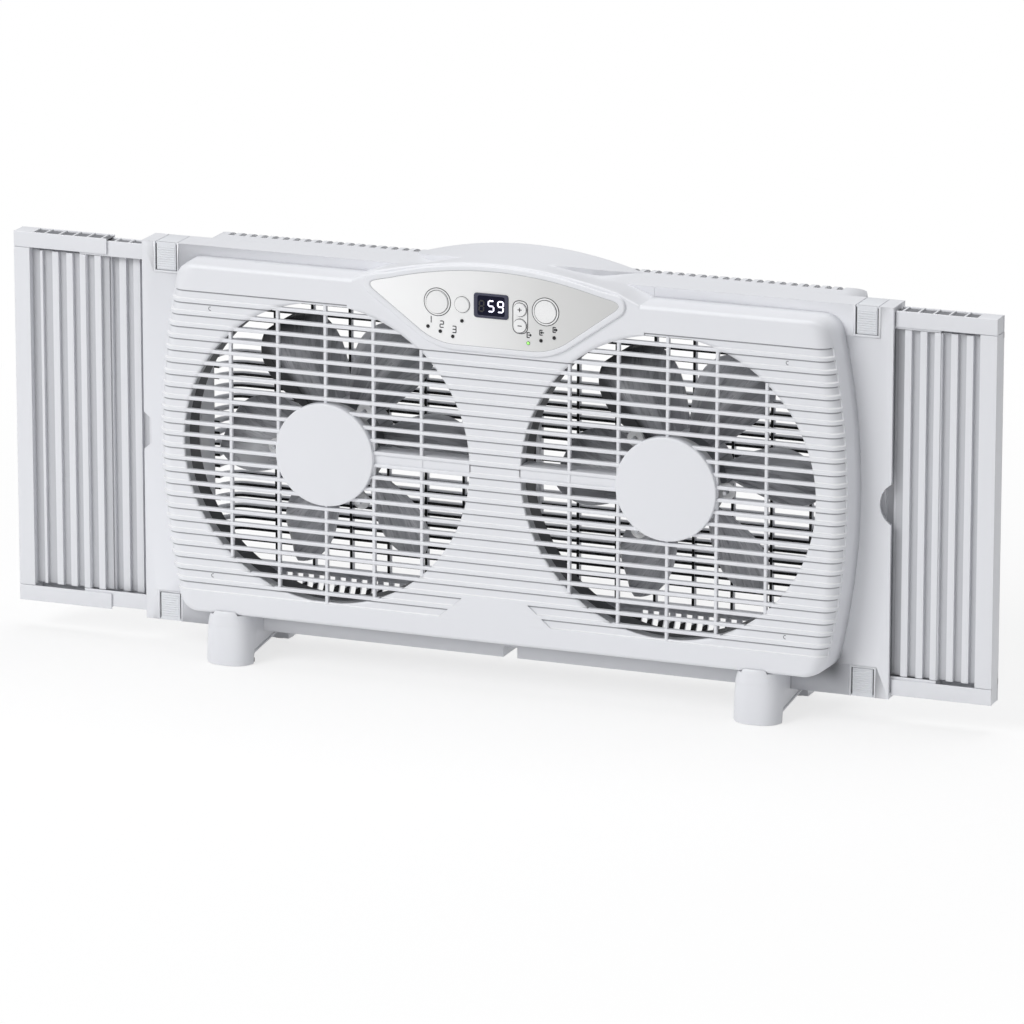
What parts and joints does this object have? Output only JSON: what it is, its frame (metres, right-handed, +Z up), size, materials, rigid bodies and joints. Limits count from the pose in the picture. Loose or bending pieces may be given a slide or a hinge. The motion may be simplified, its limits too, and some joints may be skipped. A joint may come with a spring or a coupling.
{
  "type": "window fan",
  "caption": "Twin reversible window fan with a ribbed front shell, a panel of push buttons with a display, sliding side panels that fill the window, and two feet.",
  "frame": {"origin": "on the floor under the middle of the object's box", "axes": "+X to the right seen from the front, along the panels' slide; +Y from the ribbed front shell to the louvred rear; +Z up"},
  "size_m": [0.813, 0.11, 0.3425],
  "materials": {
    "white_plastic": "fine satin moulded white plastic",
    "white_panel": "satin moulded white plastic, slightly greyer in the webs",
    "latch_plastic": "satin moulded white plastic",
    "mount_plastic": "plain white plastic",
    "silver_lens": "silver printed plastic, fine brushed look",
    "display_glass": "polished dark plastic window",
    "button_plastic": "polished silver white plastic",
    "light_pipe": "clear smoked plastic",
    "smoke_plastic": "smoke grey plastic with fine flow lines",
    "motor_steel": "plain pressed steel",
    "armature_steel": "laminated steel",
    "screw_steel": "zinc plated",
    "shaft_steel": "ground steel",
    "bush_bronze": "sintered bronze",
    "circuit_board": "green solder mask",
    "black_plastic": "plain black plastic",
    "lead_sleeve": "soft sleeve round the wires",
    "pad_rubber": "matt rubber"
  },
  "bodies": {
    "root": {"front_shell": "white_plastic", "main_housing": "white_plastic", "rear_grille": "white_plastic", "control_lens": "silver_lens", "display_window": "display_glass", "display_module": "black_plastic", "control_board": "circuit_board", "tact_switches": "black_plastic", "status_lights": "light_pipe", "ir_receiver": "black_plastic", "temperature_sensor": "black_plastic", "board_screws": "screw_steel", "left_motor_mount": "mount_plastic", "right_motor_mount": "mount_plastic", "left_motor": "motor_steel", "right_motor": "motor_steel", "left_motor_cap": "motor_steel", "right_motor_cap": "motor_steel", "shaft_bushes": "bush_bronze", "motor_screws": "screw_steel", "motor_leads": "lead_sleeve", "left_foot": "white_plastic", "right_foot": "white_plastic", "foot_pads": "pad_rubber", "foot_screws": "screw_steel", "shell_screws": "screw_steel", "rear_screws": "screw_steel", "cord_inlet": "mount_plastic"},
    "left_rotor": {"left_shaft": "shaft_steel", "left_armature": "armature_steel", "left_fan": "smoke_plastic", "left_fan_nut": "screw_steel"},
    "right_rotor": {"right_shaft": "shaft_steel", "right_armature": "armature_steel", "right_fan": "smoke_plastic", "right_fan_nut": "screw_steel"},
    "speed_button_body": {"speed_button": "button_plastic"},
    "mode_button_body": {"mode_button": "button_plastic"},
    "plus_button_body": {"plus_button": "button_plastic"},
    "minus_button_body": {"minus_button": "button_plastic"},
    "airflow_button_body": {"airflow_button": "button_plastic"},
    "left_inner_panel_body": {"left_inner_panel": "white_panel"},
    "left_outer_panel_body": {"left_outer_panel": "white_panel"},
    "right_inner_panel_body": {"right_inner_panel": "white_panel"},
    "right_outer_panel_body": {"right_outer_panel": "white_panel"},
    "top_left_latch_body": {"top_left_latch": "latch_plastic"},
    "bottom_left_latch_body": {"bottom_left_latch": "latch_plastic"},
    "top_right_latch_body": {"top_right_latch": "latch_plastic"},
    "bottom_right_latch_body": {"bottom_right_latch": "latch_plastic"}
  },
  "joints": [
    {"name": "left_fan_spin", "type": "hinge", "parent": "root", "child": "left_rotor", "pos_m": [-0.1255, -0.017, 0.179], "axis": [0, 1, 0], "continuous": true},
    {"name": "right_fan_spin", "type": "hinge", "parent": "root", "child": "right_rotor", "pos_m": [0.1565, -0.017, 0.179], "axis": [0, 1, 0], "continuous": true},
    {"name": "left_inner_slide", "type": "slide", "parent": "root", "child": "left_inner_panel_body", "axis": [-1, 0, 0], "range_m": [-0.02, 0.01]},
    {"name": "left_outer_slide", "type": "slide", "parent": "left_inner_panel_body", "child": "left_outer_panel_body", "axis": [-1, 0, 0], "range_m": [-0.011, 0.012]},
    {"name": "right_inner_slide", "type": "slide", "parent": "root", "child": "right_inner_panel_body", "axis": [1, 0, 0], "range_m": [0, 0.03]},
    {"name": "right_outer_slide", "type": "slide", "parent": "right_inner_panel_body", "child": "right_outer_panel_body", "axis": [1, 0, 0], "range_m": [0, 0.023]},
    {"name": "top_left_latch_slide", "type": "slide", "parent": "root", "child": "top_left_latch_body", "axis": [0, 0, 1], "range_m": [0, 0.006]},
    {"name": "top_right_latch_slide", "type": "slide", "parent": "root", "child": "top_right_latch_body", "axis": [0, 0, 1], "range_m": [0, 0.006]},
    {"name": "bottom_left_latch_slide", "type": "slide", "parent": "root", "child": "bottom_left_latch_body", "axis": [0, 0, -1], "range_m": [0, 0.006]},
    {"name": "bottom_right_latch_slide", "type": "slide", "parent": "root", "child": "bottom_right_latch_body", "axis": [0, 0, -1], "range_m": [0, 0.006]},
    {"name": "speed_press", "type": "slide", "parent": "root", "child": "speed_button_body", "axis": [0, 1, 0], "range_m": [0, 0.001], "stiffness_N_per_m": 1000, "springref_m": -0.0003},
    {"name": "mode_press", "type": "slide", "parent": "root", "child": "mode_button_body", "axis": [0, 1, 0], "range_m": [0, 0.001], "stiffness_N_per_m": 1000, "springref_m": -0.0003},
    {"name": "plus_press", "type": "slide", "parent": "root", "child": "plus_button_body", "axis": [0, 1, 0], "range_m": [0, 0.001], "stiffness_N_per_m": 1000, "springref_m": -0.0003},
    {"name": "minus_press", "type": "slide", "parent": "root", "child": "minus_button_body", "axis": [0, 1, 0], "range_m": [0, 0.001], "stiffness_N_per_m": 1000, "springref_m": -0.0003},
    {"name": "airflow_press", "type": "slide", "parent": "root", "child": "airflow_button_body", "axis": [0, 1, 0], "range_m": [0, 0.001], "stiffness_N_per_m": 1000, "springref_m": -0.0003}
  ]
}
